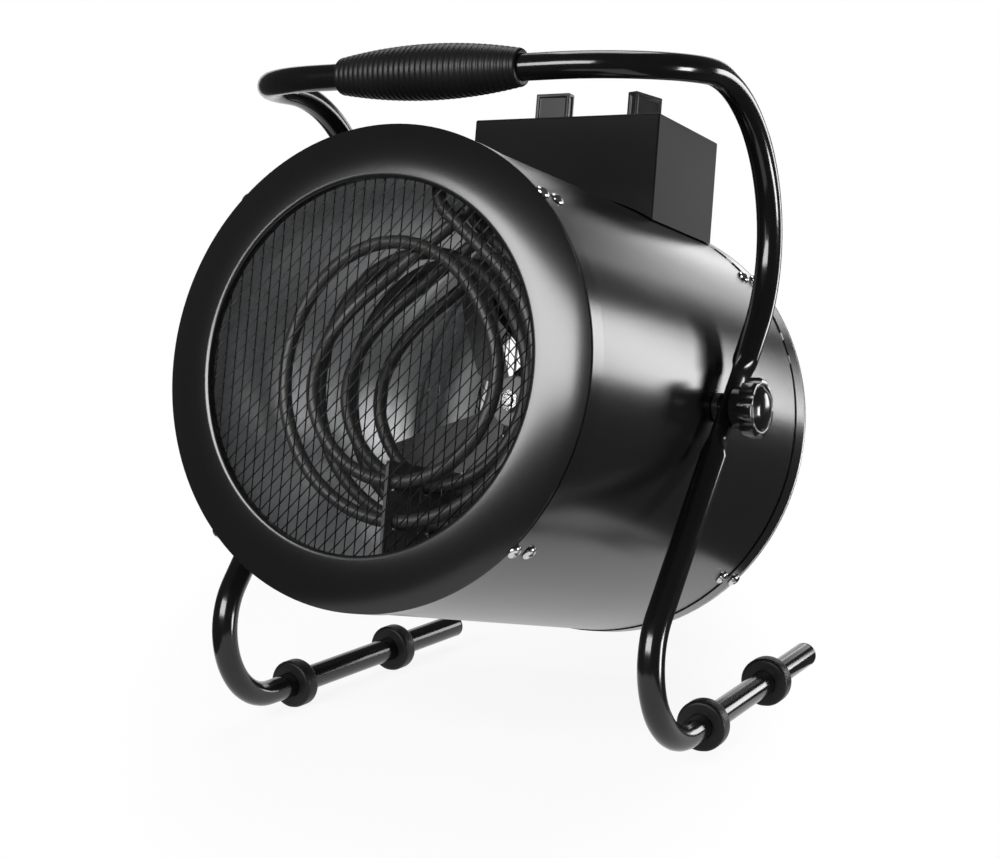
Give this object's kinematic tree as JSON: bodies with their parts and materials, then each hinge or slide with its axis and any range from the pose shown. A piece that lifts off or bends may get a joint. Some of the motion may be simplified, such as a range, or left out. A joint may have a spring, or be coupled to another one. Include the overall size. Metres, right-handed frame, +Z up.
{
  "type": "forced air heater",
  "caption": "Portable electric fan heater: black steel drum with wire guards, tilting between the sides of a bent tube stand with a ribbed carrying grip, clamp knobs and control knobs.",
  "frame": {"origin": "middle of the heater's box, on the floor that its rubber feet stand on", "axes": "+Z up; -Y towards the front, where the warm air leaves; +X to the right seen from the front, along the tilt axis"},
  "size_m": [0.3574, 0.391, 0.4351],
  "materials": {
    "stand_paint": "gloss black powder coat on steel tube",
    "drum_paint": "satin black powder coat",
    "box_paint": "fine textured black powder coat",
    "rubber": "matt black rubber",
    "black_plastic": "black moulded plastic",
    "knob_plastic": "glossy black moulded plastic",
    "zinc": "bright zinc plate",
    "galvanised": "galvanised sheet steel",
    "element_steel": "dark heat-stained steel tube",
    "fan_aluminium": "satin aluminium sheet",
    "motor_paint": "grey painted steel",
    "nylon": "pale moulded nylon"
  },
  "bodies": {
    "stand": {"stand_tube": "stand_paint", "handle_grip": "rubber", "foot_ring_front_left": "rubber", "foot_ring_front_right": "rubber", "foot_ring_rear_left": "rubber", "foot_ring_rear_right": "rubber", "foot_plug_left": "black_plastic", "foot_plug_right": "black_plastic"},
    "drum_unit": {"front_ring": "drum_paint", "rear_ring": "drum_paint", "casing": "drum_paint", "front_guard": "drum_paint", "rear_guard": "drum_paint", "front_joint_hoop": "galvanised", "rear_joint_hoop": "galvanised", "inner_drum": "galvanised", "element_plate": "galvanised", "element_support": "galvanised", "heating_element_1": "element_steel", "heating_element_2": "element_steel", "heating_element_3": "element_steel", "motor_body": "motor_paint", "motor_mount": "drum_paint", "control_box": "box_paint", "thermostat_body": "nylon", "selector_body": "nylon", "terminal_block": "nylon", "thermal_cutout": "black_plastic", "cable_gland": "black_plastic", "pivot_spacer_left": "black_plastic", "pivot_spacer_right": "black_plastic", "pivot_nut_left": "zinc", "pivot_nut_right": "zinc", "front_ring_screw_1": "zinc", "front_ring_screw_2": "zinc", "front_ring_screw_3": "zinc", "front_ring_screw_4": "zinc", "front_casing_screw_1": "zinc", "front_casing_screw_2": "zinc", "front_casing_screw_3": "zinc", "front_casing_screw_4": "zinc", "rear_ring_screw_1": "zinc", "rear_ring_screw_2": "zinc", "rear_ring_screw_3": "zinc", "rear_ring_screw_4": "zinc", "rear_casing_screw_1": "zinc", "rear_casing_screw_2": "zinc", "rear_casing_screw_3": "zinc", "rear_casing_screw_4": "zinc"},
    "thermostat_dial": {"thermostat_knob": "knob_plastic", "thermostat_spindle": "zinc"},
    "selector_dial": {"selector_knob": "knob_plastic", "selector_spindle": "zinc"},
    "clamp_left": {"clamp_knob_left": "knob_plastic", "clamp_stud_left": "zinc"},
    "clamp_right": {"clamp_knob_right": "knob_plastic", "clamp_stud_right": "zinc"},
    "fan": {"fan_impeller": "fan_aluminium", "fan_shaft": "zinc", "fan_nut": "zinc"}
  },
  "joints": [
    {"name": "drum_tilt", "type": "hinge", "parent": "stand", "child": "drum_unit", "pos_m": [0, 0.01147, 0.205], "axis": [1, 0, 0], "range_deg": [-8, 35]},
    {"name": "thermostat_turn", "type": "hinge", "parent": "drum_unit", "child": "thermostat_dial", "pos_m": [-0.03505, 0.14402, 0.37704], "axis": [0, 0.2419, 0.9703], "range_deg": [-270, 0]},
    {"name": "selector_turn", "type": "hinge", "parent": "drum_unit", "child": "selector_dial", "pos_m": [0.03505, 0.14402, 0.37704], "axis": [0, 0.2419, 0.9703], "range_deg": [-135, 0]},
    {"name": "clamp_left_turn", "type": "hinge", "parent": "drum_unit", "child": "clamp_left", "pos_m": [-0.17, 0.01147, 0.205], "axis": [-1, 0, 0], "range_deg": [0, 720]},
    {"name": "clamp_right_turn", "type": "hinge", "parent": "drum_unit", "child": "clamp_right", "pos_m": [0.17, 0.01147, 0.205], "axis": [1, 0, 0], "range_deg": [0, 720]},
    {"name": "fan_spin", "type": "hinge", "parent": "drum_unit", "child": "fan", "pos_m": [0, 0.01147, 0.205], "axis": [0, 0.9703, -0.2419], "continuous": true}
  ]
}
